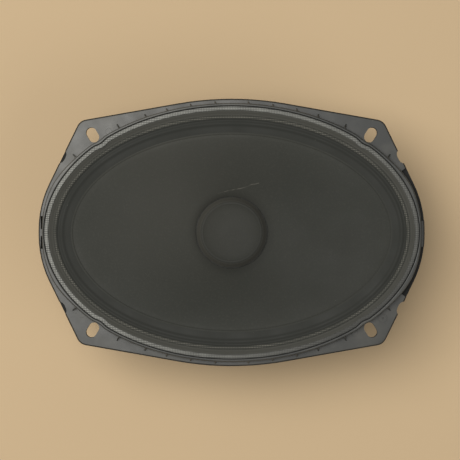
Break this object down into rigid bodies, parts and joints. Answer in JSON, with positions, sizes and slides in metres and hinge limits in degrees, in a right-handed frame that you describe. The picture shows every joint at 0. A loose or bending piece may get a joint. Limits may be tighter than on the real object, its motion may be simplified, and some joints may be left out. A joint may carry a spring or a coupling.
{
  "type": "oval car speaker",
  "caption": "Oval full-range car loudspeaker: moulded basket, pleated cloth surround, paper cone, ring-magnet motor and rear connector.",
  "frame": {"origin": "centre of the back plate's rear face", "axes": "+X along the oval's long axis towards the connector, +Y along its short axis, +Z towards the listener"},
  "size_m": [0.2364, 0.1638, 0.078],
  "materials": {
    "basket_plastic": "moulded black glass-filled plastic, satin, dusty",
    "cone_paper": "black pulp paper with a fine felted grain, treated",
    "surround_cloth": "black treated pleated cloth",
    "ring_cloth": "grey woven cloth band",
    "spider_cloth": "amber resin-treated woven cloth",
    "plated_steel": "zinc-plated steel, satin",
    "ferrite": "ground dark grey ferrite",
    "former_film": "amber film",
    "copper_wire": "enamelled copper",
    "collar_paper": "brown kraft paper",
    "solder": "bright solder under clear glue",
    "socket_plastic": "moulded black plastic",
    "tin_plated_brass": "tin-plated brass, bright"
  },
  "bodies": {
    "chassis": {"basket": "basket_plastic", "edge_ring": "ring_cloth", "surround": "surround_cloth", "tinsel_lead_positive": "copper_wire", "tinsel_lead_negative": "copper_wire", "spider": "spider_cloth", "top_plate": "plated_steel", "magnet": "ferrite", "yoke": "plated_steel", "connector_socket": "socket_plastic", "terminal_blade_positive": "tin_plated_brass", "terminal_blade_negative": "tin_plated_brass", "motor_screw_1": "plated_steel", "motor_screw_2": "plated_steel", "motor_screw_3": "plated_steel", "motor_screw_4": "plated_steel"},
    "diaphragm": {"cone": "cone_paper", "dust_cap": "cone_paper", "voice_coil_former": "former_film", "voice_coil_winding": "copper_wire", "former_collar": "collar_paper", "coil_wire_positive": "copper_wire", "coil_wire_negative": "copper_wire", "solder_joint_positive": "solder", "solder_joint_negative": "solder"}
  },
  "joints": [
    {"name": "cone_travel", "type": "slide", "parent": "chassis", "child": "diaphragm", "axis": [0, 0, 1], "range_m": [-0.004, 0.004], "stiffness_N_per_m": 2600, "deforming": ["surround", "spider", "tinsel_lead_positive", "tinsel_lead_negative"]}
  ]
}
